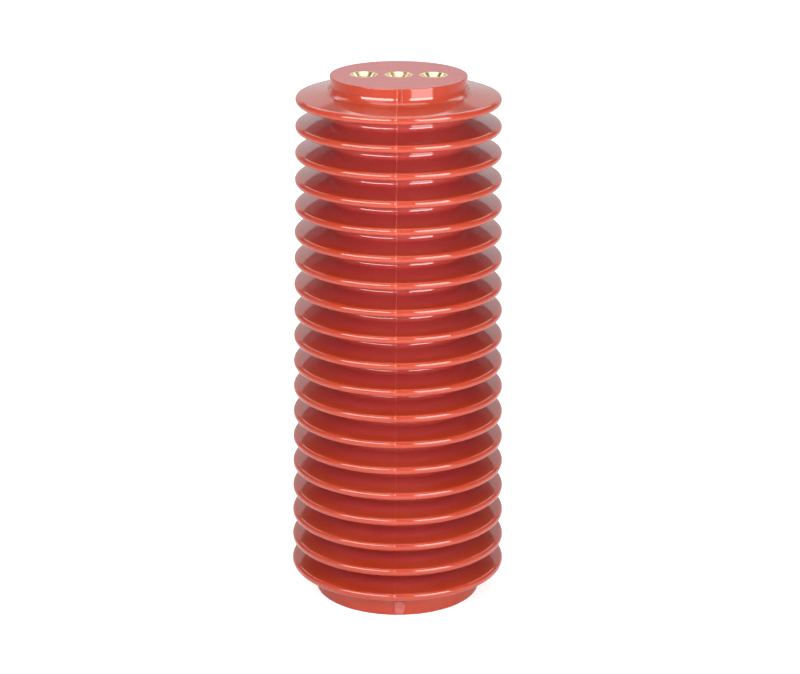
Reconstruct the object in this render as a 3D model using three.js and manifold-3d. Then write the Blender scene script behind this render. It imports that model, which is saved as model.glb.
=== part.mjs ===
// Cast-resin post insulator: one resin casting with sheds on a tapering core, brass threaded inserts
// flush in both end faces, and a round electrode cast in behind each group of inserts.
// Millimetres, +Z up, origin at the centre of the bottom face.

import * as THREE from 'three';
import { mergeVertices } from 'three/addons/utils/BufferGeometryUtils.js';
import Module from 'manifold-3d';

const GAP = 0.3; // clearance between neighbouring pieces
const OVERCUT = 1; // how far a cutter runs past the face it opens

// Casting, overall
const HEIGHT = 380;
const CASTING_FACETS = 32;

// Sheds
const SHED_COUNT = 19;
const TOP_RIM_DROP = 16.9; // top face down to the middle of the first rim
const BOTTOM_RIM_RISE = 21.1; // bottom face up to the middle of the last rim
const SHED_OVERHANG = 24; // core to rim
const RIM_THICKNESS = 5.8;
const RIM_EDGE_RADIUS = 2.6;
const SHED_TOP_SLOPE = THREE.MathUtils.degToRad(9.5);
const SHED_UNDER_SLOPE = THREE.MathUtils.degToRad(4);
const ROOT_FILLET = 3;

// End bosses
const TOP_BOSS_RADIUS = 47.7;
const BOTTOM_BOSS_RADIUS = 59.4;
const BOSS_CHAMFER = 1;

// Threaded inserts, the same piece in both ends
const INSERT_RADIUS = 10;
const INSERT_FACETS = 18;
const THREAD_RADIUS = 5.1; // wall of the M12 hole, at the thread's crests
const THREAD_DEPTH = 20;
const THREAD_MOUTH_RADIUS = 7.4; // countersunk mouth
const INSERT_WEB = 4; // brass between the two blind holes
const ANCHOR_HOLE_RADIUS = 2.5;
const ANCHOR_HOLE_DEPTH = 10;
const GRIP_GROOVE_DEPTH = 1.8; // ring groove that the resin grips
const GRIP_GROOVE_WIDTH = 10;

// Insert layout: a row across the top, a circle in the bottom
const TOP_INSERT_LAND = 4; // resin between neighbours in the row
const BOTTOM_INSERT_COUNT = 4;
const BOTTOM_INSERT_CIRCLE_RADIUS = 35;
const TOP_CORE_COVER = 13; // resin outside the inserts, where the core is thinnest
const BOTTOM_CORE_COVER = 8;

// Electrodes
const ELECTRODE_THICKNESS = 10;
const ELECTRODE_MARGIN = 2; // electrode beyond the inserts' edge
const ELECTRODE_FACETS = 32;

// Cap screws that hold the inserts to the electrodes
const SCREW_FACETS = 12;
const SCREW_HEAD_RADIUS = 5;
const SCREW_HEAD_HEIGHT = 6;
const SCREW_ENGAGEMENT = 8; // length in the insert's anchor hole
const SCREW_SOCKET_RADIUS = 2.9; // hexagon, centre to corner
const SCREW_SOCKET_DEPTH = 3;
const SCREW_HOLE_PLAY = 0.8; // clearance hole beyond the anchor hole's radius

// Worked out
const SHED_PITCH = (HEIGHT - TOP_RIM_DROP - BOTTOM_RIM_RISE) / (SHED_COUNT - 1);
const RIM_EDGE = Math.min(RIM_EDGE_RADIUS, 0.45 * RIM_THICKNESS);
const INSERT_LENGTH = THREAD_DEPTH + INSERT_WEB + ANCHOR_HOLE_DEPTH;
const TOP_INSERT_SPACING = 2 * INSERT_RADIUS + TOP_INSERT_LAND;
const TOP_INSERT_REACH = TOP_INSERT_SPACING + INSERT_RADIUS;
const BOTTOM_INSERT_REACH = BOTTOM_INSERT_CIRCLE_RADIUS + INSERT_RADIUS;
const TOP_CORE_RADIUS = TOP_INSERT_REACH + TOP_CORE_COVER;
const BOTTOM_CORE_RADIUS = BOTTOM_INSERT_REACH + BOTTOM_CORE_COVER;
const ELECTRODE_FACE = -INSERT_LENGTH - GAP; // below the end face, in an end's own frame
const COUNTERBORE_DEPTH = SCREW_HEAD_HEIGHT + 2 * GAP;
const COUNTERBORE_RADIUS = SCREW_HEAD_RADIUS + 2 * GAP;
const CLEARANCE_HOLE_RADIUS = ANCHOR_HOLE_RADIUS + SCREW_HOLE_PLAY;
const SCREW_HEAD_SEAT = ELECTRODE_FACE - ELECTRODE_THICKNESS + COUNTERBORE_DEPTH - GAP;

const wasm = await Module();
wasm.setup();

/** A closed geometry as a solid that can be cut: shared corners merged, empty triangles dropped. */
function toSolid(geometry) {
  const bare = geometry.clone();
  bare.deleteAttribute('normal');
  bare.deleteAttribute('uv');
  const merged = mergeVertices(bare, 1e-3);
  const corners = merged.index.array;
  const triangles = [];
  for (let i = 0; i < corners.length; i += 3) {
    const [a, b, c] = corners.slice(i, i + 3);
    if (a !== b && b !== c && c !== a) triangles.push(a, b, c);
  }
  return new wasm.Manifold(
    new wasm.Mesh({
      numProp: 3,
      vertProperties: Float32Array.from(merged.attributes.position.array),
      triVerts: Uint32Array.from(triangles),
    }),
  );
}

/** A cut solid as a geometry again. */
function toGeometry(solid) {
  const { vertProperties, triVerts } = solid.getMesh();
  const geometry = new THREE.BufferGeometry();
  geometry.setAttribute('position', new THREE.BufferAttribute(vertProperties, 3));
  geometry.setIndex(new THREE.BufferAttribute(triVerts, 1));
  geometry.computeVertexNormals();
  return geometry;
}

/** A geometry with each of the cutters taken away from it. */
function cut(geometry, cutters) {
  return toGeometry(cutters.reduce((solid, cutter) => solid.subtract(toSolid(cutter)), toSolid(geometry)));
}

/** A solid turned about Z from an outline of [radius, height] points that runs up the outside. */
function turned(outline, facets) {
  const points = outline.map(([radius, height]) => new THREE.Vector2(radius, height));
  return new THREE.LatheGeometry(points, facets).rotateX(Math.PI / 2);
}

/** A plain round plug from height low to height high, for cutting holes. */
function plug(radius, low, high, facets) {
  return turned([[0, low], [radius, low], [radius, high], [0, high]], facets);
}

/** Points of an arc about [x, y], angles in radians, both ends included. */
function arc([x, y], radius, from, to, steps) {
  return Array.from({ length: steps + 1 }, (_, i) => {
    const angle = from + ((to - from) * i) / steps;
    return [x + radius * Math.cos(angle), y + radius * Math.sin(angle)];
  });
}

/**
 * Outline of one shed, from its underside at rootBelow up round the rim to its top at rootAbove.
 * Both faces fall outwards, and the top runs into the wall above it through a fillet.
 */
function shedOutline(middle, rimRadius, rootBelow, rootAbove) {
  const edge = rimRadius - RIM_EDGE;
  const half = RIM_THICKNESS / 2 - RIM_EDGE;
  const lower = arc([edge, middle - half], RIM_EDGE, -Math.PI / 2 - SHED_UNDER_SLOPE, 0, 1);
  const upper = arc([edge, middle + half], RIM_EDGE, 0, Math.PI / 2 - SHED_TOP_SLOPE, 1);
  const [underStart] = lower;
  const topEnd = upper[upper.length - 1];
  const underRoot = [rootBelow, underStart[1] + (underStart[0] - rootBelow) * Math.tan(SHED_UNDER_SLOPE)];
  const filletFoot = rootAbove + ROOT_FILLET * (1 - Math.sin(SHED_TOP_SLOPE));
  const footHeight = topEnd[1] + (topEnd[0] - filletFoot) * Math.tan(SHED_TOP_SLOPE);
  const filletMiddle = [rootAbove + ROOT_FILLET, footHeight + ROOT_FILLET * Math.cos(SHED_TOP_SLOPE)];
  const fillet = arc(filletMiddle, ROOT_FILLET, -Math.PI / 2 - SHED_TOP_SLOPE, -Math.PI, 1);
  return [underRoot, ...lower, ...upper, ...fillet];
}

/** Outline of the whole casting, from the bottom face's centre to the top face's centre. */
function castingOutline() {
  const outline = [[0, 0], [BOTTOM_BOSS_RADIUS - BOSS_CHAMFER, 0], [BOTTOM_BOSS_RADIUS, BOSS_CHAMFER]];
  const coreRadius = (share) => THREE.MathUtils.lerp(BOTTOM_CORE_RADIUS, TOP_CORE_RADIUS, share);
  for (let i = 0; i < SHED_COUNT; i++) {
    const core = coreRadius(i / (SHED_COUNT - 1));
    const rootBelow = i === 0 ? BOTTOM_BOSS_RADIUS : core;
    const rootAbove = i === SHED_COUNT - 1 ? TOP_BOSS_RADIUS : core;
    outline.push(...shedOutline(BOTTOM_RIM_RISE + i * SHED_PITCH, core + SHED_OVERHANG, rootBelow, rootAbove));
  }
  outline.push([TOP_BOSS_RADIUS, HEIGHT - BOSS_CHAMFER], [TOP_BOSS_RADIUS - BOSS_CHAMFER, HEIGHT], [0, HEIGHT]);
  return outline;
}

/** A threaded insert with its face at height 0: blind thread above, blind anchor hole below. */
function insertGeometry() {
  const grooveTop = -(INSERT_LENGTH - GRIP_GROOVE_WIDTH) / 2;
  const grooveBottom = grooveTop - GRIP_GROOVE_WIDTH;
  const grooveRadius = INSERT_RADIUS - GRIP_GROOVE_DEPTH;
  return turned(
    [
      [0, ANCHOR_HOLE_DEPTH - INSERT_LENGTH],
      [ANCHOR_HOLE_RADIUS, ANCHOR_HOLE_DEPTH - INSERT_LENGTH],
      [ANCHOR_HOLE_RADIUS, -INSERT_LENGTH],
      [INSERT_RADIUS, -INSERT_LENGTH],
      [INSERT_RADIUS, grooveBottom],
      [grooveRadius, grooveBottom + GRIP_GROOVE_DEPTH],
      [grooveRadius, grooveTop - GRIP_GROOVE_DEPTH],
      [INSERT_RADIUS, grooveTop],
      [INSERT_RADIUS, 0],
      [THREAD_MOUTH_RADIUS, 0],
      [THREAD_RADIUS, THREAD_RADIUS - THREAD_MOUTH_RADIUS],
      [THREAD_RADIUS, -THREAD_DEPTH],
      [0, -THREAD_DEPTH],
    ],
    INSERT_FACETS,
  );
}

/** A disc with a full round rim, grown all over by `grow`, hanging below the insert group. */
function electrodeDisc(radius, grow) {
  const rim = ELECTRODE_THICKNESS / 2 + grow;
  const rimMiddle = [radius - ELECTRODE_THICKNESS / 2, ELECTRODE_FACE - ELECTRODE_THICKNESS / 2];
  const round = arc(rimMiddle, rim, -Math.PI / 2, Math.PI / 2, 4);
  const [low, high] = [rimMiddle[1] - rim, rimMiddle[1] + rim];
  return turned([[0, low], ...round, [0, high]], ELECTRODE_FACETS);
}

/** An electrode with a counterbored screw hole below each insert. */
function electrodeGeometry(radius, places) {
  const bottom = ELECTRODE_FACE - ELECTRODE_THICKNESS;
  const top = ELECTRODE_FACE + OVERCUT;
  const holes = places.flatMap(({ x, y }) => [
    plug(CLEARANCE_HOLE_RADIUS, bottom - OVERCUT, top, SCREW_FACETS).translate(x, y, 0),
    plug(COUNTERBORE_RADIUS, bottom - OVERCUT, bottom + COUNTERBORE_DEPTH, SCREW_FACETS).translate(x, y, 0),
  ]);
  return cut(electrodeDisc(radius, 0), holes);
}

/** A socket cap screw standing head down, its head under the electrode's web. */
function screwGeometry() {
  const headBottom = SCREW_HEAD_SEAT - SCREW_HEAD_HEIGHT;
  const shankRadius = ANCHOR_HOLE_RADIUS - GAP;
  const tip = SCREW_ENGAGEMENT - INSERT_LENGTH;
  const body = turned(
    [
      [0, headBottom],
      [SCREW_HEAD_RADIUS, headBottom],
      [SCREW_HEAD_RADIUS, SCREW_HEAD_SEAT],
      [shankRadius, SCREW_HEAD_SEAT],
      [shankRadius, tip],
      [0, tip],
    ],
    SCREW_FACETS,
  );
  return cut(body, [plug(SCREW_SOCKET_RADIUS, headBottom - OVERCUT, headBottom + SCREW_SOCKET_DEPTH, 6)]);
}

/** The room that the casting leaves for one end's inserts and electrode. */
function endHollow(radius, places) {
  const floor = ELECTRODE_FACE - GAP;
  const pockets = places.map(({ x, y }) =>
    plug(INSERT_RADIUS + GAP, floor, OVERCUT, INSERT_FACETS).translate(x, y, 0),
  );
  return [electrodeDisc(radius, GAP), ...pockets];
}

const resin = new THREE.MeshStandardMaterial({ color: 0xb3382b, roughness: 0.18, metalness: 0 });
const brass = new THREE.MeshStandardMaterial({ color: 0xc9a45c, roughness: 0.3, metalness: 1 });
const aluminium = new THREE.MeshStandardMaterial({ color: 0xb9bcc0, roughness: 0.45, metalness: 1 });
const steel = new THREE.MeshStandardMaterial({ color: 0x8d9196, roughness: 0.4, metalness: 1 });

/** A named mesh at a place in its end's own frame. */
function piece(name, geometry, material, { x, y } = { x: 0, y: 0 }) {
  const mesh = new THREE.Mesh(geometry, material);
  mesh.name = name;
  mesh.position.set(x, y, 0);
  return mesh;
}

/** One end's inserts, screws and electrode, in a group whose +Z points out of the end face. */
function endGroup(end, places, electrodeRadius) {
  const group = new THREE.Group();
  group.add(piece(`${end}_electrode`, electrodeGeometry(electrodeRadius, places), aluminium));
  for (const place of places) {
    group.add(piece(`${end}_insert_${place.label}`, insertGeometry(), brass, place));
    group.add(piece(`${end}_electrode_screw_${place.label}`, screwGeometry(), steel, place));
  }
  return group;
}

const topPlaces = ['left', 'centre', 'right'].map((label, i) => ({
  label,
  x: (i - 1) * TOP_INSERT_SPACING,
  y: 0,
}));
const bottomPlaces = Array.from({ length: BOTTOM_INSERT_COUNT }, (_, i) => {
  const angle = ((i + 0.5) * 2 * Math.PI) / BOTTOM_INSERT_COUNT;
  return {
    label: i + 1,
    x: BOTTOM_INSERT_CIRCLE_RADIUS * Math.cos(angle),
    y: BOTTOM_INSERT_CIRCLE_RADIUS * Math.sin(angle),
  };
});
const topElectrodeRadius = TOP_INSERT_REACH + ELECTRODE_MARGIN;
const bottomElectrodeRadius = BOTTOM_INSERT_REACH + ELECTRODE_MARGIN;

const topEnd = endGroup('top', topPlaces, topElectrodeRadius);
topEnd.position.z = HEIGHT;
const bottomEnd = endGroup('bottom', bottomPlaces, bottomElectrodeRadius);
bottomEnd.rotation.x = Math.PI;
topEnd.updateMatrix();
bottomEnd.updateMatrix();

const hollows = [
  ...endHollow(topElectrodeRadius, topPlaces).map((shape) => shape.applyMatrix4(topEnd.matrix)),
  ...endHollow(bottomElectrodeRadius, bottomPlaces).map((shape) => shape.applyMatrix4(bottomEnd.matrix)),
];
const casting = piece('resin_body', cut(turned(castingOutline(), CASTING_FACETS), hollows), resin);

const group = new THREE.Group();
group.add(casting, topEnd, bottomEnd);

export default group;
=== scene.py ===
"""Cast-resin post insulator, dressed for the studio.

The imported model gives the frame: every size and place here is read from it or named once below.
Lengths are in metres, +Z is up, and the origin is the centre of the bottom face.
"""

import logging
import math
from dataclasses import dataclass
from enum import Enum
from itertools import pairwise

import bpy
from mathutils import Matrix, Vector

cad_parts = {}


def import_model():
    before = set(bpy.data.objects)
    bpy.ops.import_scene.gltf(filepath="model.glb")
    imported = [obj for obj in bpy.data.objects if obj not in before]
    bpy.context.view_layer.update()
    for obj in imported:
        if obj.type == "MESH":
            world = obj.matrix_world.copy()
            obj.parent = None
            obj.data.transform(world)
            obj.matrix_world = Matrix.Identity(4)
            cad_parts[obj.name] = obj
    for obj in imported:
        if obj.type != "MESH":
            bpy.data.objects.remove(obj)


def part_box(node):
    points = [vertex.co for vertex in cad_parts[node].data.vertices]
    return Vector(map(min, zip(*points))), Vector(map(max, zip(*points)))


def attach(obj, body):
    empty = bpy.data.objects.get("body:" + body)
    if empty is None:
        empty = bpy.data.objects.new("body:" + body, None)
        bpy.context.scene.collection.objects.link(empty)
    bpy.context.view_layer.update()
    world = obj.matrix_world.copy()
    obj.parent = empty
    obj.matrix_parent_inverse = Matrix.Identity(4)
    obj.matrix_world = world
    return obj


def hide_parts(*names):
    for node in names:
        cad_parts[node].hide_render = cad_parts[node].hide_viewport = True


log = logging.getLogger("post_insulator")

MM = 0.001
Outline = list[tuple[float, float]]
Colour = tuple[float, float, float]
REFRACTION = 1.54
WHITE = (1.0, 1.0, 1.0, 1.0)


class End(Enum):
    """The two ends of the insulator."""

    TOP = "top"
    BOTTOM = "bottom"


# ---------------------------------------------------------------------------------------------
# Mesh work


def deselect_everything() -> None:
    """Leaves edit mode and clears the selection, so that the next operator sees only its own piece."""
    if bpy.context.object is not None and bpy.context.object.mode != "OBJECT":
        bpy.ops.object.mode_set(mode="OBJECT")
    bpy.ops.object.select_all(action="DESELECT")


def make_active(piece: bpy.types.Object) -> None:
    """Selects one piece alone and makes it active.

    Args:
        piece: The object to work on.
    """
    deselect_everything()
    piece.select_set(True)
    bpy.context.view_layer.objects.active = piece


def edit_all(piece: bpy.types.Object) -> None:
    """Opens a piece in edit mode with everything selected.

    Args:
        piece: The object to open.
    """
    make_active(piece)
    bpy.ops.object.mode_set(mode="EDIT")
    bpy.ops.mesh.select_mode(type="VERT")
    bpy.ops.mesh.select_all(action="SELECT")


def arc(centre: tuple[float, float], radius: float, start: float, end: float, steps: int) -> Outline:
    """Points of an arc in the outline's plane, both ends included.

    Args:
        centre: Radius and height of the arc's centre.
        radius: The arc's radius.
        start: First angle, in radians.
        end: Last angle, in radians.
        steps: Number of straight steps between the ends.

    Returns:
        The arc's points.
    """
    angles = [start + (end - start) * i / steps for i in range(steps + 1)]
    return [(centre[0] + radius * math.cos(a), centre[1] + radius * math.sin(a)) for a in angles]


def with_holding_points(outline: Outline, margin: float, shortest: float) -> Outline:
    """Adds a point near each end of every long straight run, so that shading stays flat along it.

    Args:
        outline: The outline's points.
        margin: How far from the run's end the new point is.
        shortest: The shortest run that gets new points.

    Returns:
        The outline with its new points.
    """
    points = [outline[0]]
    for (r0, z0), (r1, z1) in pairwise(outline):
        length = math.hypot(r1 - r0, z1 - z0)
        if length > shortest:
            for share in (margin / length, 1 - margin / length):
                points.append((r0 + (r1 - r0) * share, z0 + (z1 - z0) * share))
        points.append((r1, z1))
    return points


def draw_outline(name: str, outline: Outline) -> bpy.types.Object:
    """Draws an outline in the XZ plane by extruding a point along it.

    Args:
        name: Name of the new object.
        outline: Points as radius and height.

    Returns:
        The object, in edit mode, with nothing but the outline's edges.
    """
    deselect_everything()
    radius, height = outline[0]
    bpy.ops.mesh.primitive_plane_add(size=1 * MM, location=(radius, 0.0, height))
    piece = bpy.context.object
    piece.name = name
    bpy.ops.object.transform_apply(location=True, rotation=False, scale=False)
    edit_all(piece)
    bpy.ops.mesh.merge(type="CENTER")
    for (r0, z0), (r1, z1) in pairwise(outline):
        bpy.ops.mesh.extrude_region_move(TRANSFORM_OT_translate={"value": (r1 - r0, 0.0, z1 - z0)})
    return piece


def close_up(piece: bpy.types.Object) -> None:
    """Merges doubled points of a mesh in edit mode and turns its faces outwards.

    Args:
        piece: The object, open in edit mode.
    """
    bpy.ops.mesh.select_all(action="SELECT")
    bpy.ops.mesh.remove_doubles(threshold=0.001 * MM)
    bpy.ops.mesh.normals_make_consistent(inside=False)
    make_active(piece)


def turned(name: str, outline: Outline, steps: int) -> bpy.types.Object:
    """Turns an outline about the Z axis into a closed solid.

    Args:
        name: Name of the new object.
        outline: Points as radius and height, from the axis round the outside and back to the axis.
        steps: Number of steps in the full turn.

    Returns:
        The finished solid.
    """
    piece = draw_outline(name, outline)
    bpy.ops.mesh.select_all(action="SELECT")
    bpy.ops.mesh.spin(steps=steps, angle=2 * math.pi, center=(0.0, 0.0, 0.0), axis=(0.0, 0.0, 1.0))
    close_up(piece)
    return piece


def shift_mesh(piece: bpy.types.Object, offset: Vector) -> None:
    """Moves a piece's mesh, and leaves its object at the origin.

    Args:
        piece: The object to work on.
        offset: How far its points move.
    """
    edit_all(piece)
    bpy.ops.transform.translate(value=offset)
    make_active(piece)


def turn_mesh(piece: bpy.types.Object, angle: float, axis: str = "Z") -> None:
    """Turns a piece's mesh about an axis through the origin.

    Args:
        piece: The object to work on.
        angle: How far it turns, in radians, anticlockwise as seen from the axis's far end.
        axis: The axis, as X, Y or Z.
    """
    edit_all(piece)
    bpy.ops.transform.rotate(value=-angle, orient_axis=axis, center_override=(0.0, 0.0, 0.0))
    make_active(piece)


def copy_of(piece: bpy.types.Object, name: str) -> bpy.types.Object:
    """Copies a piece with a mesh of its own.

    Args:
        piece: The object to copy.
        name: Name of the copy.

    Returns:
        The copy.
    """
    make_active(piece)
    bpy.ops.object.duplicate(linked=False)
    twin = bpy.context.object
    twin.name = name
    return twin


def remove(piece: bpy.types.Object) -> None:
    """Deletes one object."""
    make_active(piece)
    bpy.ops.object.delete()


def apply_modifier(piece: bpy.types.Object, kind: str, **settings: object) -> None:
    """Puts a modifier on a piece and applies it at once.

    Args:
        piece: The object to work on.
        kind: The modifier's type.
        settings: Properties to set on the modifier.
    """
    make_active(piece)
    bpy.ops.object.modifier_add(type=kind)
    modifier = piece.modifiers[-1]
    for key, value in settings.items():
        setattr(modifier, key, value)
    bpy.ops.object.modifier_apply(modifier=modifier.name)


def cut_away(piece: bpy.types.Object, cutters: list[bpy.types.Object]) -> None:
    """Cuts solids out of a piece and removes them.

    Args:
        piece: The object that is cut.
        cutters: Closed solids, which are used up.
    """
    for cutter in cutters:
        apply_modifier(piece, "BOOLEAN", operation="DIFFERENCE", solver="EXACT", object=cutter)
        remove(cutter)


def smooth(piece: bpy.types.Object, angle: float) -> None:
    """Shades a piece smooth except across edges sharper than an angle.

    Args:
        piece: The object to shade.
        angle: The sharpest smooth edge, in degrees.
    """
    make_active(piece)
    bpy.ops.object.shade_smooth_by_angle(angle=math.radians(angle))


def hand_over(piece: bpy.types.Object, slot: str, finish: bpy.types.Material, *nodes: str) -> None:
    """Gives a finished piece its material, its body and the nodes that it stands for.

    Args:
        piece: The finished object.
        slot: The record's material slot; not used.
        finish: The material that it wears.
        nodes: Names of the nodes that it replaces.
    """
    piece.data.materials.clear()
    piece.data.materials.append(finish)
    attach(piece, "root")
    if nodes:
        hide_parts(*nodes)
    log.info("%s: %d faces, for %s", piece.name, len(piece.data.polygons), ", ".join(nodes) or "itself")


# ---------------------------------------------------------------------------------------------
# Finishes


class NodeBench:
    """Adds and wires the nodes of one tree, with short calls for the ones that repeat."""

    def __init__(self, tree: bpy.types.NodeTree) -> None:
        """Starts on a tree.

        Args:
            tree: The material's or the group's node tree.
        """
        self.tree = tree
        self.column = 0

    def add(self, kind: str, **settings: object) -> bpy.types.Node:
        """Adds a node.

        Args:
            kind: The node's type name.
            settings: Properties to set on it.

        Returns:
            The node.
        """
        node = self.tree.nodes.new(kind)
        node.location = (self.column * 180, -(self.column % 5) * 160)
        self.column += 1
        for key, value in settings.items():
            setattr(node, key, value)
        return node

    def feed(self, socket: bpy.types.NodeSocket, value: object) -> None:
        """Links an output to a socket, or sets the socket's own value.

        Args:
            socket: The input socket.
            value: An output socket, a number or a colour.
        """
        if isinstance(value, bpy.types.NodeSocket):
            self.tree.links.new(value, socket)
        else:
            socket.default_value = value

    def maths(self, operation: str, *values: object) -> bpy.types.NodeSocket:
        """Adds a Math node.

        Args:
            operation: Name of the operation.
            values: Its inputs in order.

        Returns:
            Its result.
        """
        node = self.add("ShaderNodeMath", operation=operation)
        for socket, value in zip(node.inputs, values):
            self.feed(socket, value)
        return node.outputs[0]

    def blend(self, share: object, first: object, second: object) -> bpy.types.NodeSocket:
        """Mixes two colours.

        Args:
            share: How much of the second colour, from 0 to 1.
            first: The first colour.
            second: The second colour.

        Returns:
            The mixed colour.
        """
        node = self.add("ShaderNodeMix", data_type="RGBA")
        self.feed(node.inputs["Factor"], share)
        for name, value in (("A", first), ("B", second)):
            socket = next(s for s in node.inputs if s.name == name and s.type == "RGBA")
            self.feed(socket, value if isinstance(value, bpy.types.NodeSocket) else (*value, 1.0))
        return next(s for s in node.outputs if s.type == "RGBA")

    def ramp(
        self, value: object, low: float, high: float, start: float = 0.0, end: float = 1.0
    ) -> bpy.types.NodeSocket:
        """Maps a value smoothly from one range to another and stops at its ends.

        Args:
            value: What is mapped.
            low: The value that gives start.
            high: The value that gives end.
            start: Result at and below low.
            end: Result at and above high.

        Returns:
            The mapped value.
        """
        node = self.add("ShaderNodeMapRange", interpolation_type="SMOOTHSTEP")
        for socket, given in zip(node.inputs, (value, low, high, start, end)):
            self.feed(socket, given)
        return node.outputs[0]

    def radius(self, point: bpy.types.Node) -> bpy.types.NodeSocket:
        """Works out a point's distance from the Z axis.

        Args:
            point: A Separate XYZ node that holds the point.

        Returns:
            The distance.
        """
        squares = [self.maths("POWER", point.outputs[axis], 2.0) for axis in ("X", "Y")]
        return self.maths("SQRT", self.maths("ADD", *squares))

    def noise(self, place: bpy.types.NodeSocket, scale: float, detail: float) -> bpy.types.NodeSocket:
        """Adds a noise texture.

        Args:
            place: The coordinates that it reads.
            scale: Cells per metre.
            detail: Number of finer octaves.

        Returns:
            The noise, from 0 to 1.
        """
        node = self.add("ShaderNodeTexNoise")
        self.feed(node.inputs["Vector"], place)
        self.feed(node.inputs["Scale"], scale)
        self.feed(node.inputs["Detail"], detail)
        return node.outputs["Fac"]

    def stretched(self, place: bpy.types.NodeSocket, scale: Colour) -> bpy.types.NodeSocket:
        """Stretches coordinates along the axes.

        Args:
            place: The coordinates.
            scale: Factor along each axis.

        Returns:
            The stretched coordinates.
        """
        node = self.add("ShaderNodeMapping")
        self.feed(node.inputs["Vector"], place)
        node.inputs["Scale"].default_value = scale
        return node.outputs["Vector"]


def handling_marks() -> bpy.types.NodeTree:
    """Fine random rubs and scratches, shared by the cast resin, faced resin and turned metal finishes.

    Returns:
        A group that takes Place and Density and gives Mark, from 0 on clean surface to 1 on a mark.
    """
    known = bpy.data.node_groups.get("handling_marks")
    if known is not None:
        return known
    tree = bpy.data.node_groups.new("handling_marks", "ShaderNodeTree")
    tree.interface.new_socket(name="Place", in_out="INPUT", socket_type="NodeSocketVector")
    tree.interface.new_socket(name="Density", in_out="INPUT", socket_type="NodeSocketFloat")
    tree.interface.new_socket(name="Mark", in_out="OUTPUT", socket_type="NodeSocketFloat")
    bench = NodeBench(tree)
    given = bench.add("NodeGroupInput")
    result = bench.add("NodeGroupOutput")
    place = given.outputs["Place"]
    rubs = bench.noise(bench.stretched(place, (1.0, 1.0, 0.35)), 95.0, 6.0)
    lines = bench.noise(bench.stretched(place, (6.0, 1.0, 9.0)), 160.0, 2.0)
    thin = bench.ramp(bench.maths("ABSOLUTE", bench.maths("SUBTRACT", lines, 0.5)), 0.0, 0.012, 1.0, 0.0)
    edge = bench.maths("SUBTRACT", 0.86, bench.maths("MULTIPLY", given.outputs["Density"], 0.34))
    worn = bench.ramp(rubs, 0.50, 0.78)
    patch = bench.ramp(bench.maths("ADD", worn, bench.maths("MULTIPLY", thin, 0.4)), edge, 1.25)
    bench.feed(result.inputs["Mark"], patch)
    return tree


def marks_on(bench: NodeBench, place: bpy.types.NodeSocket, density: float) -> bpy.types.NodeSocket:
    """Adds the handling marks to a material.

    Args:
        bench: The material's bench.
        place: The coordinates that the marks follow.
        density: How many marks there are, from 0 to 1.

    Returns:
        The marks, from 0 on clean surface to 1 on a mark.
    """
    node = bench.add("ShaderNodeGroup")
    node.node_tree = handling_marks()
    bench.feed(node.inputs["Place"], place)
    bench.feed(node.inputs["Density"], density)
    return node.outputs["Mark"]


def start_material(name: str) -> tuple[bpy.types.Material, NodeBench, bpy.types.Node, bpy.types.NodeSocket]:
    """Starts a material with its shader and its object coordinates.

    Args:
        name: Name of the material.

    Returns:
        The material, its bench, its Principled shader and its object coordinates.
    """
    material = bpy.data.materials.new(name)
    material.use_nodes = True
    bench = NodeBench(material.node_tree)
    shader = next(n for n in material.node_tree.nodes if n.type == "BSDF_PRINCIPLED")
    place = bench.add("ShaderNodeTexCoord").outputs["Object"]
    return material, bench, shader, place


def add_bump(bench: NodeBench, shader: bpy.types.Node, height: bpy.types.NodeSocket, depth: float) -> None:
    """Bumps a shader's surface.

    Args:
        bench: The material's bench.
        shader: The Principled shader.
        height: The height pattern, from 0 to 1.
        depth: How deep the pattern is, in metres.
    """
    bump = bench.add("ShaderNodeBump")
    bump.inputs["Strength"].default_value = 1.0
    bump.inputs["Distance"].default_value = depth
    bench.feed(bump.inputs["Height"], height)
    bench.feed(shader.inputs["Normal"], bump.outputs["Normal"])


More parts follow.
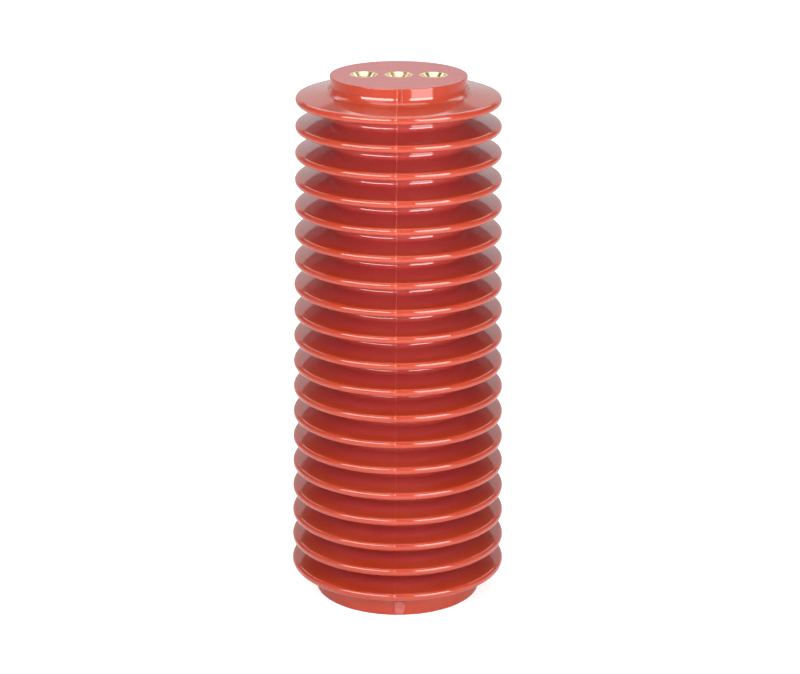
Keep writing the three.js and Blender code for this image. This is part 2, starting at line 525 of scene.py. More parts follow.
@dataclass(frozen=True)
class CastResin:
    """Cast epoxy: a coloured, finely filled body under a glossy mould skin, with painted shade in the gaps
    between the sheds and a painted lit colour on the rims and bosses.
    """

    low_face: float
    high_face: float
    # Painted light and shade: these bands mark where the painted lit colour goes, on the rims, near the top
    # face and near the bottom face.
    lit_rim_band: tuple[float, float] = (63 * MM, 70 * MM)
    lit_top_band: tuple[float, float] = (19 * MM, 15 * MM)
    lit_foot_band: tuple[float, float] = (17 * MM, 20 * MM)
    # deep is a painted-shade colour, crimson, for the gaps between the sheds; lit is the painted lit colour,
    # more orange, for the rims and both bosses.
    deep: Colour = (0.335, 0.0290, 0.0265)
    lit: Colour = (0.312, 0.0275, 0.0085)
    mottle: float = 0.10
    filler_share: float = 0.5
    rubbed: Colour = (0.50, 0.115, 0.080)
    seam_pale: Colour = (0.50, 0.12, 0.09)
    body_roughness: tuple[float, float] = (0.45, 0.55)
    body_gloss: float = 0.08
    skin_roughness: float = 0.08
    skin_ripple: float = 0.006 * MM
    wear: float = 0.03
    mark_density: float = 0.3
    skin_loss: float = 0.8
    refraction: float = REFRACTION
    seam_width: float = 0.42 * MM
    seam_edge: float = 0.3
    seam_dulling: float = 0.6

    def material(self) -> bpy.types.Material:
        """Builds the material.

        Returns:
            The material.
        """
        made, bench, shader, place = start_material("cast_resin")
        parts = bench.add("ShaderNodeSeparateXYZ")
        bench.feed(parts.inputs[0], place)
        x, z = parts.outputs["X"], parts.outputs["Z"]
        cloud = bench.noise(bench.stretched(place, (1.0, 1.0, 0.6)), 26.0, 4.0)
        filler = bench.maths("SUBTRACT", bench.noise(place, 900.0, 2.0), 0.5)
        tone = bench.maths("ADD", cloud, bench.maths("MULTIPLY", filler, self.filler_share))
        # Painted light and shade: thin, above and below pick out the rims, the top boss and the bottom boss
        # for the painted lit colour, and everything else keeps the painted-shade colour deep.
        thin = bench.ramp(bench.radius(parts), *self.lit_rim_band)
        above = bench.ramp(z, *(self.high_face - drop for drop in self.lit_top_band))
        below = bench.ramp(z, *(self.low_face + rise for rise in self.lit_foot_band), 1.0, 0.0)
        lit_share = bench.maths("MAXIMUM", thin, bench.maths("MAXIMUM", above, below))
        plain = bench.blend(lit_share, self.deep, self.lit)
        paler = bench.maths("MULTIPLY", bench.ramp(tone, 0.3, 0.7), self.mottle)
        colour = bench.blend(paler, plain, self.rubbed)
        rubs = bench.maths("MULTIPLY", marks_on(bench, place, self.mark_density), self.wear)
        from_seam = bench.maths("ABSOLUTE", x)
        near_seam = bench.ramp(from_seam, self.seam_edge * self.seam_width, self.seam_width, 1.0, 0.0)
        breaks = bench.noise(bench.stretched(place, (1.0, 1.0, 2.2)), 120.0, 2.0)
        broken = bench.ramp(breaks, 0.30, 0.60, 0.25, 1.0)
        higher = bench.ramp(z, 0.1 * self.high_face, self.high_face, 0.1, 0.9)
        seam = bench.maths("MULTIPLY", bench.maths("MULTIPLY", near_seam, broken), higher)
        worn = bench.blend(rubs, colour, self.rubbed)
        bench.feed(shader.inputs["Base Color"], bench.blend(seam, worn, self.seam_pale))
        bench.feed(shader.inputs["Roughness"], bench.ramp(cloud, 0.25, 0.75, *self.body_roughness))
        shader.inputs["Specular IOR Level"].default_value = self.body_gloss
        shader.inputs["IOR"].default_value = self.refraction
        dulled = bench.maths("MAXIMUM", rubs, bench.maths("MULTIPLY", seam, self.seam_dulling))
        skin = bench.maths("SUBTRACT", 1.0, bench.maths("MULTIPLY", dulled, self.skin_loss))
        bench.feed(shader.inputs["Coat Weight"], skin)
        shader.inputs["Coat Roughness"].default_value = self.skin_roughness
        shader.inputs["Coat IOR"].default_value = self.refraction
        add_bump(bench, shader, bench.noise(place, 210.0, 2.0), self.skin_ripple)
        return made


@dataclass(frozen=True)
class FacedResinPaintedReflection:
    """Resin faced flat on a lathe at both ends: the mould skin is gone, so it is nearly matt; its pale pink
    is partly the faced resin's own colour and partly a painted reflection of the white surroundings.
    """

    # plain and paler hold a painted reflection: the white surroundings' reflection on the end faces is
    # painted into their pale pink, on top of the faced resin's own colour.
    plain: Colour = (0.400, 0.153, 0.151)
    paler: Colour = (0.450, 0.200, 0.194)
    stained: Colour = (0.330, 0.118, 0.123)
    roughness: tuple[float, float] = (0.50, 0.60)
    gloss: float = 0.10
    sheen_weight: float = 0.04
    sheen_roughness: float = 0.35
    mark_density: float = 0.42
    wear: float = 0.35
    grit_depth: float = 0.004 * MM

    def material(self) -> bpy.types.Material:
        """Builds the material.

        Returns:
            The material.
        """
        made, bench, shader, place = start_material("faced_resin_painted_reflection")
        cloud = bench.noise(place, 60.0, 4.0)
        grit = bench.noise(place, 1400.0, 2.0)
        clouded = bench.ramp(cloud, 0.35, 0.75, 0.0, 0.45)
        tone = bench.maths("ADD", clouded, bench.ramp(grit, 0.35, 0.65, 0.0, 0.25))
        clean = bench.blend(tone, self.plain, self.paler)
        blots = bench.noise(bench.stretched(place, (1.0, 3.0, 1.0)), 34.0, 3.0)
        stained = bench.blend(bench.ramp(blots, 0.62, 0.74, 0.0, 0.5), clean, self.stained)
        rubbed = bench.maths("MULTIPLY", marks_on(bench, place, self.mark_density), self.wear)
        bench.feed(shader.inputs["Base Color"], bench.blend(rubbed, stained, self.paler))
        bench.feed(shader.inputs["Roughness"], bench.ramp(cloud, 0.3, 0.7, *self.roughness))
        shader.inputs["Specular IOR Level"].default_value = self.gloss
        bench.feed(shader.inputs["Coat Weight"], bench.ramp(rubbed, 0.0, self.wear, self.sheen_weight, 0.0))
        shader.inputs["Coat Roughness"].default_value = self.sheen_roughness
        add_bump(bench, shader, grit, self.grit_depth)
        return made


@dataclass(frozen=True)
class GroundResin:
    """Resin where the casting gate was cut off and ground: paler, matt and scratched."""

    pale: Colour = (0.39, 0.092, 0.078)
    dark: Colour = (0.33, 0.050, 0.038)
    roughness: tuple[float, float] = (0.46, 0.66)
    stroke_depth: float = 0.06 * MM

    def material(self) -> bpy.types.Material:
        """Builds the material.

        Returns:
            The material.
        """
        made, bench, shader, place = start_material("ground_resin")
        strokes = bench.noise(bench.stretched(place, (3.0, 1.0, 0.5)), 900.0, 3.0)
        patches = bench.noise(place, 420.0, 3.0)
        relief = bench.maths("ADD", strokes, patches)
        share = bench.ramp(relief, 0.7, 1.3)
        bench.feed(shader.inputs["Base Color"], bench.blend(share, self.dark, self.pale))
        bench.feed(shader.inputs["Roughness"], bench.ramp(strokes, 0.3, 0.7, *self.roughness))
        shader.inputs["IOR"].default_value = REFRACTION
        add_bump(bench, shader, relief, self.stroke_depth)
        return made


@dataclass(frozen=True)
class TurnedMetal:
    """Metal turned on a lathe: rings about the piece's own axis, with marks from handling."""

    name: str
    bright: Colour
    dull: Colour
    roughness: float
    ring_spacing: float = 0.16 * MM
    ring_depth: float = 0.004 * MM
    tarnish_roughness: float = 0.16
    mark_density: float = 0.4
    wear: float = 0.25

    def material(self, axis: Vector) -> bpy.types.Material:
        """Builds the material for a piece whose axis is vertical.

        Args:
            axis: A point on the piece's axis.

        Returns:
            The material.
        """
        made, bench, shader, place = start_material(self.name)
        centred = bench.add("ShaderNodeMapping")
        bench.feed(centred.inputs["Vector"], place)
        centred.inputs["Location"].default_value = (-axis.x, -axis.y, 0.0)
        parts = bench.add("ShaderNodeSeparateXYZ")
        bench.feed(parts.inputs[0], centred.outputs["Vector"])
        reach = bench.maths("ADD", bench.radius(parts), parts.outputs["Z"])
        rings = bench.maths("SINE", bench.maths("MULTIPLY", reach, 2 * math.pi / self.ring_spacing))
        tarnish = bench.ramp(bench.noise(place, 240.0, 5.0), 0.42, 0.72)
        rubs = bench.maths("MULTIPLY", marks_on(bench, place, self.mark_density), self.wear)
        share = bench.maths("MAXIMUM", tarnish, rubs)
        bench.feed(shader.inputs["Base Color"], bench.blend(share, self.bright, self.dull))
        rough = bench.ramp(share, 0.0, 1.0, self.roughness, self.roughness + self.tarnish_roughness)
        bench.feed(shader.inputs["Roughness"], rough)
        shader.inputs["Metallic"].default_value = 1.0
        add_bump(bench, shader, bench.maths("MULTIPLY", bench.maths("ADD", rings, 1.0), 0.5), self.ring_depth)
        return made


@dataclass(frozen=True)
class CastAluminium:
    """Aluminium as cast: fine sand grain with brighter high spots."""

    bright: Colour = (0.74, 0.75, 0.77)
    dull: Colour = (0.50, 0.51, 0.53)
    roughness: tuple[float, float] = (0.42, 0.60)
    grain_depth: float = 0.05 * MM

    def material(self) -> bpy.types.Material:
        """Builds the material.

        Returns:
            The material.
        """
        made, bench, shader, place = start_material("cast_aluminium")
        grain = bench.noise(place, 1300.0, 4.0)
        stain = bench.noise(place, 60.0, 3.0)
        share = bench.ramp(bench.maths("ADD", grain, stain), 0.8, 1.2)
        bench.feed(shader.inputs["Base Color"], bench.blend(share, self.bright, self.dull))
        bench.feed(shader.inputs["Roughness"], bench.ramp(grain, 0.3, 0.7, *self.roughness))
        shader.inputs["Metallic"].default_value = 1.0
        add_bump(bench, shader, grain, self.grain_depth)
        return made


# ---------------------------------------------------------------------------------------------
# The casting


def corners(node: str) -> tuple[Vector, Vector]:
    """The low and high corners of a frame node's box."""
    low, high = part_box(node)
    return Vector(low), Vector(high)


@dataclass
class Casting:
    """The resin body: sheds on a tapering core between two bosses, with its mould and gate marks."""

    shed_count: int = 19
    top_rim_drop: float = 16.9 * MM
    bottom_rim_rise: float = 21.1 * MM
    overhang: float = 24.0 * MM
    taper: float = 5.6 * MM
    rim_thickness: float = 5.8 * MM
    rim_edge: float = 2.6 * MM
    top_slope: float = math.radians(9.5)
    under_slope: float = math.radians(4.0)
    root_fillet: float = 3.0 * MM
    under_fillet: float = 2.5 * MM
    boss_fillet: float = 4.6 * MM
    root_rise: float = 9.4 * MM
    root_drop: float = 4.2 * MM
    top_boss: float = 47.7 * MM
    bottom_boss: float = 59.4 * MM
    boss_edge: float = 0.6 * MM
    turn_steps: int = 150
    holding_margin: float = 0.2 * MM
    holding_length: float = 1.5 * MM
    seam_height: float = 0.09 * MM
    seam_flat: float = 0.12 * MM
    seam_foot: float = 0.38 * MM
    seam_slack: float = 0.01 * MM
    gate_angle: float = math.radians(2.1)
    gate_half: tuple[float, float] = (4.4 * MM, 5.4 * MM)
    gate_flat: float = 2.7 * MM
    gate_stand: float = 0.5 * MM
    gate_sink: float = 0.01 * MM
    gate_middle: float = 5.9 * MM
    gate_lip: float = 0.35 * MM
    gate_lip_rise: float = 0.12 * MM
    gate_land: float = 0.40 * MM
    gate_ring: float = 0.5 * MM
    gate_rings: int = 3
    gate_dish: float = 0.3 * MM
    vent_angle: float = math.radians(3.3)
    vent_width: float = 1.7 * MM
    vent_bevel: float = 0.65 * MM
    vent_stand: float = 0.16 * MM
    vent_wave: float = 0.18 * MM
    vent_wave_start: float = 0.4
    vent_wave_turn: float = 1.7
    vent_steps: int = 14
    vent_show: float = 0.9
    vent_span: tuple[float, float] = (367.4 * MM, 379.6 * MM)
    face_reach: float = 0.05 * MM

    def __post_init__(self) -> None:
        """Reads the casting's box from the frame."""
        self.low, self.high = corners("resin_body")
        self.rim_low = self.high.x
        self.pitch = (self.high.z - self.top_rim_drop - self.bottom_rim_rise) / (self.shed_count - 1)

    def core_radius(self, height: float) -> float:
        """Radius of the tapering core.

        Args:
            height: Height above the bottom face.

        Returns:
            The radius.
        """
        share = (height - self.bottom_rim_rise) / (self.pitch * (self.shed_count - 1))
        return self.rim_low - self.overhang - self.taper * share

    def shed_outline(self, middle: float, rim: float, below: float, above: float, fillet: float) -> Outline:
        """Outline of one shed, from the wall below it round the rim to the wall above it.

        Args:
            middle: Height of the middle of the rim.
            rim: Radius of the rim.
            below: Radius of the wall below.
            above: Radius of the wall above.
            fillet: Radius of the fillet between the shed and the wall above.

        Returns:
            The outline's points.
        """
        edge, half = rim - self.rim_edge, self.rim_thickness / 2 - self.rim_edge
        lower = arc((edge, middle - half), self.rim_edge, -math.pi / 2 - self.under_slope, 0.0, 5)
        upper = arc((edge, middle + half), self.rim_edge, 0.0, math.pi / 2 - self.top_slope, 5)
        return [
            *self.root(lower[0], below, self.under_fillet, -self.under_slope, -1),
            *lower,
            *upper,
            *reversed(self.root(upper[-1], above, fillet, self.top_slope, 1)),
        ]

    @staticmethod
    def root(start: tuple[float, float], wall: float, fillet: float, slope: float, side: int) -> Outline:
        """The fillet between a wall and a shed's face.

        Args:
            start: Where the shed's face meets its rim.
            wall: Radius of the wall.
            fillet: Radius of the fillet.
            slope: How steeply the face rises towards the wall on its own side.
            side: 1 above the shed, -1 below it.

        Returns:
            The fillet's points, from the wall to the face.
        """
        foot = wall + fillet * (1 - math.sin(slope))
        height = start[1] + side * (start[0] - foot) * math.tan(slope)
        centre = (wall + fillet, height + side * fillet * math.cos(slope))
        return arc(centre, fillet, side * math.pi, side * (1.5 * math.pi - slope), 4)

    def outline(self) -> Outline:
        """Outline of the whole casting, from the bottom face's centre to the top face's centre."""
        top, bottom, edge = self.top_boss, self.bottom_boss, self.boss_edge
        points = [(0.0, 0.0), *arc((bottom - edge, edge), edge, -math.pi / 2, 0.0, 4)]
        for shed in range(self.shed_count):
            middle = self.bottom_rim_rise + shed * self.pitch
            rim = self.core_radius(middle) + self.overhang
            below = bottom if shed == 0 else self.core_radius(middle - self.root_drop)
            above = top if shed == self.shed_count - 1 else self.core_radius(middle + self.root_rise)
            fillet = self.boss_fillet if shed == self.shed_count - 1 else self.root_fillet
            points += self.shed_outline(middle, rim, below, above, fillet)
        height = self.high.z
        return [*points, *arc((top - edge, height - edge), edge, 0.0, math.pi / 2, 4), (0.0, height)]

    def raise_seam(self, body: bpy.types.Object) -> None:
        """Raises the mould's parting line on the front and back of the casting.

        Args:
            body: The casting's mesh.
        """
        edit_all(body)
        for offset in (-self.seam_foot, -self.seam_flat, self.seam_flat, self.seam_foot):
            bpy.ops.mesh.select_all(action="SELECT")
            bpy.ops.mesh.bisect(plane_co=(offset, 0.0, 0.0), plane_no=(1.0, 0.0, 0.0))
        bpy.ops.mesh.select_all(action="DESELECT")
        bpy.ops.object.mode_set(mode="OBJECT")
        wall = self.top_boss - 2 * self.boss_edge
        for point in body.data.vertices:
            near = abs(point.co.x) < self.seam_flat + self.seam_slack
            inside = self.boss_edge < point.co.z < self.high.z - self.boss_edge
            point.select = near and inside and abs(point.co.y) > wall
        bpy.ops.object.mode_set(mode="EDIT")
        bpy.ops.transform.shrink_fatten(value=self.seam_height)
        make_active(body)

    def gate_mark(self) -> bpy.types.Object:
        """The ground stub of the casting gate, low on the front of the bottom boss.

        Returns:
            The stub: a D-shaped pad that stands a little proud, with a rim round its dished face.
        """
        deselect_everything()
        half_width, half_height = self.gate_half
        bpy.ops.mesh.primitive_cylinder_add(vertices=64, radius=half_width, depth=2 * self.gate_stand)
        mark = bpy.context.object
        mark.name = "gate_mark"
        edit_all(mark)
        bpy.ops.transform.rotate(value=math.pi / 2, orient_axis="X", center_override=(0.0, 0.0, 0.0))
        bpy.ops.transform.resize(value=(1.0, 1.0, half_height / half_width))
        bpy.ops.mesh.bisect(
            plane_co=(-self.gate_flat, 0.0, 0.0), plane_no=(-1.0, 0.0, 0.0), use_fill=True, clear_outer=True
        )
        bpy.ops.mesh.select_all(action="DESELECT")
        bpy.ops.object.mode_set(mode="OBJECT")
        for face in mark.data.polygons:
            face.select = face.normal.y < -0.9
        bpy.ops.object.mode_set(mode="EDIT")
        bpy.ops.mesh.select_mode(type="FACE")
        bpy.ops.mesh.inset(thickness=self.gate_lip, depth=self.gate_lip_rise, use_even_offset=False)
        bpy.ops.mesh.inset(thickness=self.gate_land, depth=0.0, use_even_offset=False)
        for ring in range(self.gate_rings):
            drop = self.gate_dish / (ring + 2)
            bpy.ops.mesh.inset(thickness=self.gate_ring, depth=-drop, use_even_offset=False)
        bpy.ops.mesh.select_all(action="SELECT")
        bpy.ops.transform.translate(value=(0.0, -self.bottom_boss - self.gate_sink, self.gate_middle))
        close_up(mark)
        turn_mesh(mark, self.gate_angle)
        return mark

    def vent_mark(self) -> bpy.types.Object:
        """The thin wavy strip that the mould's vent left on the front of the top boss.

        Returns:
            The strip, with both long edges rounded.
        """
        low, high = self.vent_span
        path = []
        for i in range(self.vent_steps + 1):
            share = i / self.vent_steps
            swing = self.vent_wave * (self.vent_wave_start + (1 - self.vent_wave_start) * share)
            path.append((swing * math.sin(self.vent_wave_turn * i), low + (high - low) * share))
        mark = draw_outline("vent_mark", path)
        bpy.ops.mesh.select_all(action="SELECT")
        bpy.ops.mesh.extrude_region_move(TRANSFORM_OT_translate={"value": (0.0, -self.vent_width, 0.0)})
        apply_modifier(mark, "SOLIDIFY", thickness=self.vent_width, offset=0.0)
        apply_modifier(mark, "BEVEL", width=self.vent_bevel, segments=3, limit_method="ANGLE")
        edit_all(mark)
        flatness = self.vent_stand / self.vent_bevel
        bpy.ops.transform.resize(value=(1.0, flatness, 1.0))
        sunk = flatness * self.vent_width - self.vent_show * self.vent_stand
        bpy.ops.transform.translate(value=(0.0, sunk - self.top_boss, 0.0))
        close_up(mark)
        turn_mesh(mark, self.vent_angle)
        return mark

    def build(self, hollows: list[bpy.types.Object]) -> bpy.types.Object:
        """Models the casting.

        Args:
            hollows: Solids in the shape of everything that is cast in, which are used up.

        Returns:
            The casting.
        """
        outline = with_holding_points(self.outline(), self.holding_margin, self.holding_length)
        body = turned("resin_casting", outline, self.turn_steps)
        self.raise_seam(body)
        cut_away(body, hollows)
        smooth(body, 30.0)
        return body

    def dress(self, body: bpy.types.Object, gate: bpy.types.Object, vent: bpy.types.Object) -> None:
        """Gives the casting and its two mould marks their finishes.

        Args:
            body: The casting.
            gate: The gate mark.
            vent: The vent mark.
        """
        resin = CastResin(self.low.z, self.high.z).material()
        hand_over(body, "resin", resin, "resin_body")
        # The end faces get the faced resin, whose pale pink is partly a painted reflection of the white
        # surroundings.
        body.data.materials.append(FacedResinPaintedReflection().material())
        for face in body.data.polygons:
            from_end = min(abs(face.center.z - self.low.z), abs(face.center.z - self.high.z))
            face.material_index = int(from_end < self.face_reach and abs(face.normal.z) > 0.999)
        smooth(gate, 25.0)
        hand_over(gate, "resin", GroundResin().material())
        smooth(vent, 40.0)
        hand_over(vent, "resin", resin)


# ---------------------------------------------------------------------------------------------
# Cast-in metalwork


@dataclass
class ThreadedInsert:
    """A turned brass insert: countersunk blind thread, grip grooves, and an anchor hole behind."""

    radius: float
    length: float
    crest: float = 5.1 * MM
    groove: float = 6.0 * MM
    thread_pitch: float = 1.75 * MM
    thread_depth: float = 20.0 * MM
    mouth: float = 8.5 * MM
    anchor_radius: float = 2.5 * MM
    anchor_depth: float = 10.0 * MM
    grip_depth: float = 1.8 * MM
    grip_width: float = 10.0 * MM
    edge: float = 0.15 * MM
    thread_sink: float = 0.05 * MM
    thread_flank: float = 0.44
    thread_crest: float = 0.10
    thread_lead: float = 0.7
    thread_run_out: float = 1.2
    drill_point: float = 0.3
    anchor_point: float = 0.5
    fit: float = 0.01 * MM
    turn_steps: int = 96

    def outline(self) -> Outline:
        """Outline of the insert with its face at height 0, from axis to axis."""
        grip_top = -(self.length - self.grip_width) / 2
        grip_bottom = grip_top - self.grip_width
        waist = self.radius - self.grip_depth
        r, e = self.radius, self.edge
        cone = self.groove - self.mouth
        return [
            (0.0, self.anchor_depth - self.length + self.anchor_radius * self.anchor_point),
            (self.anchor_radius, self.anchor_depth - self.length),
            (self.anchor_radius, -self.length + e),
            (self.anchor_radius + e, -self.length),
            (r - e, -self.length),
            (r, -self.length + e),
            (r, grip_bottom),
            (waist, grip_bottom + self.grip_depth),
            (waist, grip_top - self.grip_depth),
            (r, grip_top),
            (r, -e),
            (r - e, 0.0),
            (self.mouth + e, 0.0),
            (self.mouth, -e),
            (self.groove, cone),
            (self.groove, -self.thread_depth),
            (0.0, -self.thread_depth - self.groove * self.drill_point),
        ]

    def thread(self) -> bpy.types.Object:
        """The helical ridge of the thread, set a little into the hole's wall."""
        root, half = self.groove + self.thread_sink, self.thread_pitch * self.thread_flank
        flat = self.thread_pitch * self.thread_crest
        start = -self.thread_depth + self.thread_pitch * self.thread_lead
        section = [(root, -half), (self.crest, -flat), (self.crest, flat), (root, half)]
        ridge = draw_outline("thread_ridge", [(radius, start + height) for radius, height in section])
        bpy.ops.mesh.select_all(action="SELECT")
        bpy.ops.mesh.edge_face_add()
        threaded = self.thread_depth + self.groove - self.mouth
        apply_modifier(
            ridge,
            "SCREW",
            axis="Z",
            angle=2 * math.pi,
            screw_offset=self.thread_pitch,
            iterations=int(threaded / self.thread_pitch - self.thread_run_out),
            steps=self.turn_steps // 2,
            render_steps=self.turn_steps // 2,
            use_merge_vertices=False,
        )
        edit_all(ridge)
        close_up(ridge)
        return ridge

    def build(self) -> bpy.types.Object:
        """Models one insert at the origin with its face at height 0.

        Returns:
            The insert.
        """
        body = turned("threaded_insert", self.outline(), self.turn_steps)
        ridge = self.thread()
        make_active(body)
        ridge.select_set(True)
        bpy.ops.object.join()
        smooth(body, 28.0)
        return body

    def pocket(self, place: Vector, end: End) -> bpy.types.Object:
        """The room that an insert takes in the casting.

        Args:
            place: Centre of the insert's face.
            end: Which end it is in.

        Returns:
            A plug in the insert's shape, a hair larger.
        """
        wall, above = self.radius + self.fit, 1 * MM
        outline = [(0.0, -self.length), (wall, -self.length), (wall, above), (0.0, above)]
        plug = turned("pocket", outline, self.turn_steps)
        return set_in_place(plug, place, end)


def set_in_place(piece: bpy.types.Object, place: Vector, end: End) -> bpy.types.Object:
    """Moves a piece made with its face at height 0 to its place in one end.

    Args:
        piece: The piece, made pointing up.
        place: Where its face's centre goes.
        end: Which end it is in.

    Returns:
        The piece.
    """
    if end is End.BOTTOM:
        turn_mesh(piece, -math.pi, "X")
    shift_mesh(piece, place)
    return piece


@dataclass
class Electrode:
    """A round-rimmed aluminium disc behind the inserts, with counterbored holes for its screws."""

    radius: float
    thickness: float
    depth: float
    hole: float = 3.3 * MM
    counterbore: float = 5.6 * MM
    counterbore_depth: float = 6.6 * MM
    fit: float = 0.01 * MM
    turn_steps: int = 120
    hole_steps: int = 48

    def disc(self, name: str, grow: float = 0.0) -> bpy.types.Object:
        """A plain disc with a full round rim, below height 0 by the electrode's depth.

        Args:
            name: Name of the new object.
            grow: How much larger it is than the electrode, all over.

        Returns:
            The disc.
        """
        half = self.thickness / 2
        middle = (self.radius - half, -self.depth - half)
        rim = arc(middle, half + grow, -math.pi / 2, math.pi / 2, 14)
        return turned(name, [(0.0, rim[0][1]), *rim, (0.0, rim[-1][1])], self.turn_steps)

    def build(self, name: str, places: list[Vector]) -> bpy.types.Object:
        """Models the electrode.

        Args:
            name: Name of the new object.
            places: Where its screws go, from its centre.

        Returns:
            The electrode.
        """
        plate = self.disc(name)
        back, past = -self.depth - self.thickness, 1 * MM
        low, holes = back - past, []
        for place in places:
            bore = (self.hole, past - self.depth)
            for radius, high in (bore, (self.counterbore, back + self.counterbore_depth)):
                outline = [(0.0, low), (radius, low), (radius, high), (0.0, high)]
                hole = turned("hole", outline, self.hole_steps)
                shift_mesh(hole, Vector((place.x, place.y, 0.0)))
                holes.append(hole)
        cut_away(plate, holes)
        smooth(plate, 30.0)
        return plate


@dataclass
class CapScrew:
    """A socket cap screw, head down, with a rolled thread on its shank."""

    head_radius: float
    seat: float
    tip: float
    head_height: float = 6.0 * MM
    shank: float = 2.2 * MM
    socket: float = 2.9 * MM
    socket_depth: float = 3.0 * MM
    plain_length: float = 3.6 * MM
    thread_margin: float = 4.4 * MM
    thread_step: float = 0.4 * MM
    thread_cut: float = 0.22 * MM
    edge: float = 0.5 * MM
    turn_steps: int = 64

    def build(self) -> bpy.types.Object:
        """Models the screw on the Z axis, at its height below the end face.

        Returns:
            The screw.
        """
        bottom, r, e = self.seat - self.head_height, self.head_radius, self.edge
        steps = int((self.tip - self.seat - self.thread_margin) / self.thread_step)
        start = self.seat + self.plain_length
        grooves = [(self.shank - i % 2 * self.thread_cut, start + i * self.thread_step) for i in range(steps)]
        outline = [
            (0.0, bottom),
            (r - e, bottom),
            (r, bottom + e),
            (r, self.seat),
            (self.shank, self.seat),
            *grooves,
            (self.shank, self.tip - e),
            (self.shank - e, self.tip),
            (0.0, self.tip),
        ]
        screw = turned("cap_screw", outline, self.turn_steps)
        deselect_everything()
        depth, middle = 2 * self.socket_depth, (0.0, 0.0, bottom)
        bpy.ops.mesh.primitive_cylinder_add(vertices=6, radius=self.socket, depth=depth, location=middle)
        key = bpy.context.object
        bpy.ops.object.transform_apply(location=True, rotation=False, scale=False)
        cut_away(screw, [key])
        smooth(screw, 30.0)
        return screw


@dataclass
class EndFitting:
    """Everything that is cast into one end: inserts, their electrode and its screws."""

    end: End
    labels: list[str]

    def __post_init__(self) -> None:
        """Reads the fitting's sizes and places from the frame."""
        end = self.end.value
        low, high = corners("resin_body")
        face = high.z if self.end is End.TOP else low.z
        self.places = []
        for label in self.labels:
            low, high = corners(f"{end}_insert_{label}")
            middle = (low + high) / 2
            self.places.append(Vector((middle.x, middle.y, face)))
        self.insert = ThreadedInsert(radius=(high.y - low.y) / 2, length=high.z - low.z)
        low, high = corners(f"{end}_electrode")
        near, far = sorted((abs(face - low.z), abs(face - high.z)))
        self.electrode = Electrode(radius=high.x, thickness=far - near, depth=near)
        low, high = corners(f"{end}_electrode_screw_{self.labels[0]}")
        tip, back = sorted((abs(face - low.z), abs(face - high.z)))
        head = (high.y - low.y) / 2
        self.screw = CapScrew(head_radius=head, seat=-back + CapScrew.head_height, tip=-tip)

    def hollows(self) -> list[bpy.types.Object]:
        """Solids in the shape of what the casting holds at this end."""
        room = self.electrode.disc("room", self.electrode.fit)
        shapes = [set_in_place(room, Vector((0.0, 0.0, self.places[0].z)), self.end)]
        return shapes + [self.insert.pocket(place, self.end) for place in self.places]

    def build(self) -> None:
        """Models and dresses the inserts, the electrode and the screws."""
        end = self.end.value
        brass = TurnedMetal("turned_brass", (0.93, 0.77, 0.45), (0.80, 0.57, 0.28), 0.15)
        steel = TurnedMetal("plain_steel", (0.46, 0.46, 0.48), (0.25, 0.25, 0.27), 0.34)
        insert, screw = self.insert.build(), self.screw.build()
        centre = Vector((0.0, 0.0, self.places[0].z))
        side = -1 if self.end is End.BOTTOM else 1
        holes = [Vector((place.x, side * place.y, 0.0)) for place in self.places]
        plate = set_in_place(self.electrode.build(f"{end}_grading_disc", holes), centre, self.end)
        hand_over(plate, "electrode_aluminium", CastAluminium().material(), f"{end}_electrode")
        for label, place in zip(self.labels, self.places):
            brass_piece = set_in_place(copy_of(insert, f"{end}_brass_insert_{label}"), place, self.end)
            hand_over(brass_piece, "insert_brass", brass.material(place), f"{end}_insert_{label}")
            steel_piece = set_in_place(copy_of(screw, f"{end}_cap_screw_{label}"), place, self.end)
            hand_over(steel_piece, "screw_steel", steel.material(place), f"{end}_electrode_screw_{label}")
        remove(insert)
        remove(screw)


# ---------------------------------------------------------------------------------------------
# Studio


def add_lamp(
    name: str,
    place: tuple[float, float, float],
    turn: tuple[float, float, float],
    size: tuple[float, float],
    radiance: float,
) -> None:
    """Adds one rectangular lamp that the camera itself doesn't see.

    Args:
        name: Name of the lamp.
        place: Its middle.
        turn: Its turns about X, Y and Z; unturned, it faces down.
        size: Its width and height.
        radiance: How bright its face is.
    """
    deselect_everything()
    bpy.ops.object.light_add(type="AREA", location=place)
    lamp = bpy.context.object
    lamp.name = name
    lamp.rotation_euler = turn
    lamp.data.shape = "RECTANGLE"
    lamp.data.size, lamp.data.size_y = size
    lamp.data.energy = radiance * math.pi * size[0] * size[1]
    lamp.visible_camera = False


@dataclass(frozen=True)
class Softbox:
    """A rectangular lamp that stands upright and faces the insulator's axis."""

    name: str
    left: float
    right: float
    foot: float
    head: float
    radiance: float
    distance: float = 1.20

    def build(self) -> None:
        """Places the lamp."""
        left, right = math.radians(self.left), math.radians(self.right)
        middle, half = (left + right) / 2, (right - left) / 2
        width, tall = 2 * self.distance * math.tan(half), self.head - self.foot
        x, y = self.distance * math.sin(middle), -self.distance * math.cos(middle)
        place, turn = (x, y, self.foot + tall / 2), (math.pi / 2, 0.0, middle)
        add_lamp(self.name, place, turn, (width, tall), self.radiance)


@dataclass(frozen=True)
class Canopy:
    """A rectangular lamp that hangs level and faces the floor."""

    name: str
    place: tuple[float, float, float]
    size: tuple[float, float]
    radiance: float

    def build(self) -> None:
        """Places the lamp."""
        add_lamp(self.name, self.place, (0.0, 0.0, 0.0), self.size, self.radiance)


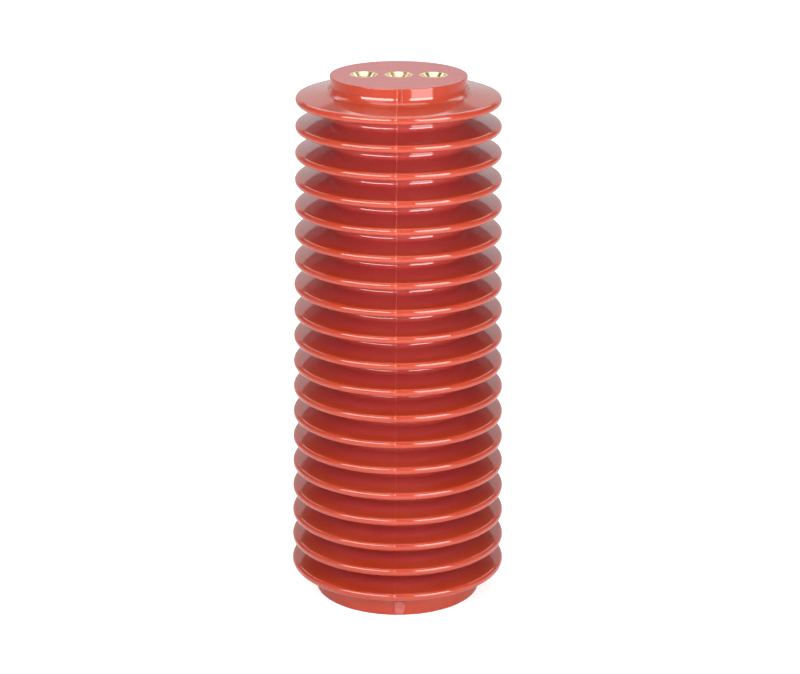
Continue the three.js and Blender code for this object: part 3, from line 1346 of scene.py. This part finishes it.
@dataclass
class Studio:
    """Pale floor, white surroundings, softboxes and the camera."""

    lens: float = 106.8
    distance: float = 1.6095
    eye_height: float = 0.7167
    side_step: float = 0.0014
    pitch: float = math.radians(18.127)
    roll: float = math.radians(0.16)
    azimuth: float = math.radians(1.1)
    surround: float = 0.20
    floor_size: float = 30.0
    floor_tone: float = 0.76
    floor_roughness: float = 0.8
    floor_gloss: float = 0.1
    floor_lift: float = 0.50
    backdrop_lift: float = 0.85
    lamps: tuple[Softbox | Canopy, ...] = (
        Softbox("left_middle", left=-62.0, right=-7.0, foot=0.44, head=0.75, radiance=13.2),
        Softbox("left_upper", left=-62.0, right=-7.0, foot=0.75, head=1.05, radiance=4.8),
        Softbox("left_top", left=-62.0, right=-7.0, foot=1.05, head=1.60, radiance=1.8),
        Softbox("right_lower", left=22.0, right=58.0, foot=0.02, head=0.35, radiance=5.4),
        Softbox("right_middle", left=19.0, right=58.0, foot=0.35, head=0.70, radiance=13.7),
        Softbox("right_upper", left=19.0, right=58.0, foot=0.70, head=1.05, radiance=3.8),
        Softbox("backdrop", left=140.0, right=220.0, foot=0.30, head=1.70, radiance=0.60, distance=3.0),
        Canopy("overhead", place=(0.0, 0.0, 2.2), size=(1.5, 1.5), radiance=2.7),
        Canopy("rear_overhead", place=(0.0, 2.4, 2.4), size=(4.5, 2.5), radiance=2.1),
    )

    def set_camera(self) -> None:
        """Places the camera in front of the insulator and a little above it."""
        deselect_everything()
        bpy.ops.object.camera_add(location=(0.0, 0.0, 0.0))
        camera = bpy.context.object
        camera.name = "studio_camera"
        turn = Matrix.Rotation(self.azimuth, 4, "Z")
        stand = Matrix.Translation((self.side_step, -self.distance, self.eye_height))
        tilt = Matrix.Rotation(math.pi / 2 - self.pitch, 4, "X") @ Matrix.Rotation(self.roll, 4, "Z")
        camera.matrix_world = turn @ stand @ tilt
        camera.data.lens = self.lens
        camera.data.sensor_width = 36.0
        camera.data.clip_start, camera.data.clip_end = 0.01, 100.0
        bpy.context.scene.camera = camera

    def set_floor(self) -> None:
        """Lays the pale floor."""
        deselect_everything()
        bpy.ops.mesh.primitive_plane_add(size=self.floor_size, location=(0.0, 0.0, 0.0))
        floor = bpy.context.object
        floor.name = "floor"
        made, bench, shader, _ = start_material("pale_floor")
        bench.feed(shader.inputs["Base Color"], (self.floor_tone, self.floor_tone, self.floor_tone, 1.0))
        shader.inputs["Roughness"].default_value = self.floor_roughness
        shader.inputs["Specular IOR Level"].default_value = self.floor_gloss
        shader.inputs["Emission Color"].default_value = WHITE
        seen = bench.add("ShaderNodeLightPath").outputs["Is Camera Ray"]
        bench.feed(shader.inputs["Emission Strength"], bench.maths("MULTIPLY", seen, self.floor_lift))
        floor.data.materials.append(made)

    def set_surround(self) -> None:
        """Surrounds the scene with even white."""
        world = bpy.data.worlds.new("white_surround")
        world.use_nodes = True
        bench = NodeBench(world.node_tree)
        background = world.node_tree.nodes["Background"]
        background.inputs["Color"].default_value = WHITE
        seen = bench.add("ShaderNodeLightPath").outputs["Is Camera Ray"]
        lift = self.backdrop_lift - self.surround
        bench.feed(background.inputs["Strength"], bench.maths("MULTIPLY_ADD", seen, lift, self.surround))
        bpy.context.scene.world = world

    def build(self) -> None:
        """Sets the studio up, camera first."""
        self.set_camera()
        self.set_floor()
        self.set_surround()
        for lamp in self.lamps:
            lamp.build()
        bpy.context.scene.view_settings.view_transform = "Standard"


def main() -> None:
    """Builds the studio, the metalwork and the casting, and reports each piece."""
    logging.basicConfig(level=logging.INFO, format="%(name)s: %(message)s")
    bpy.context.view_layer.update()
    Studio().build()
    fittings = [
        EndFitting(End.TOP, ["left", "centre", "right"]),
        EndFitting(End.BOTTOM, ["1", "2", "3", "4"]),
    ]
    casting = Casting()
    body = casting.build([shape for fitting in fittings for shape in fitting.hollows()])
    casting.dress(body, casting.gate_mark(), casting.vent_mark())
    for fitting in fittings:
        fitting.build()


if __name__ == "__main__":
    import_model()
    main()
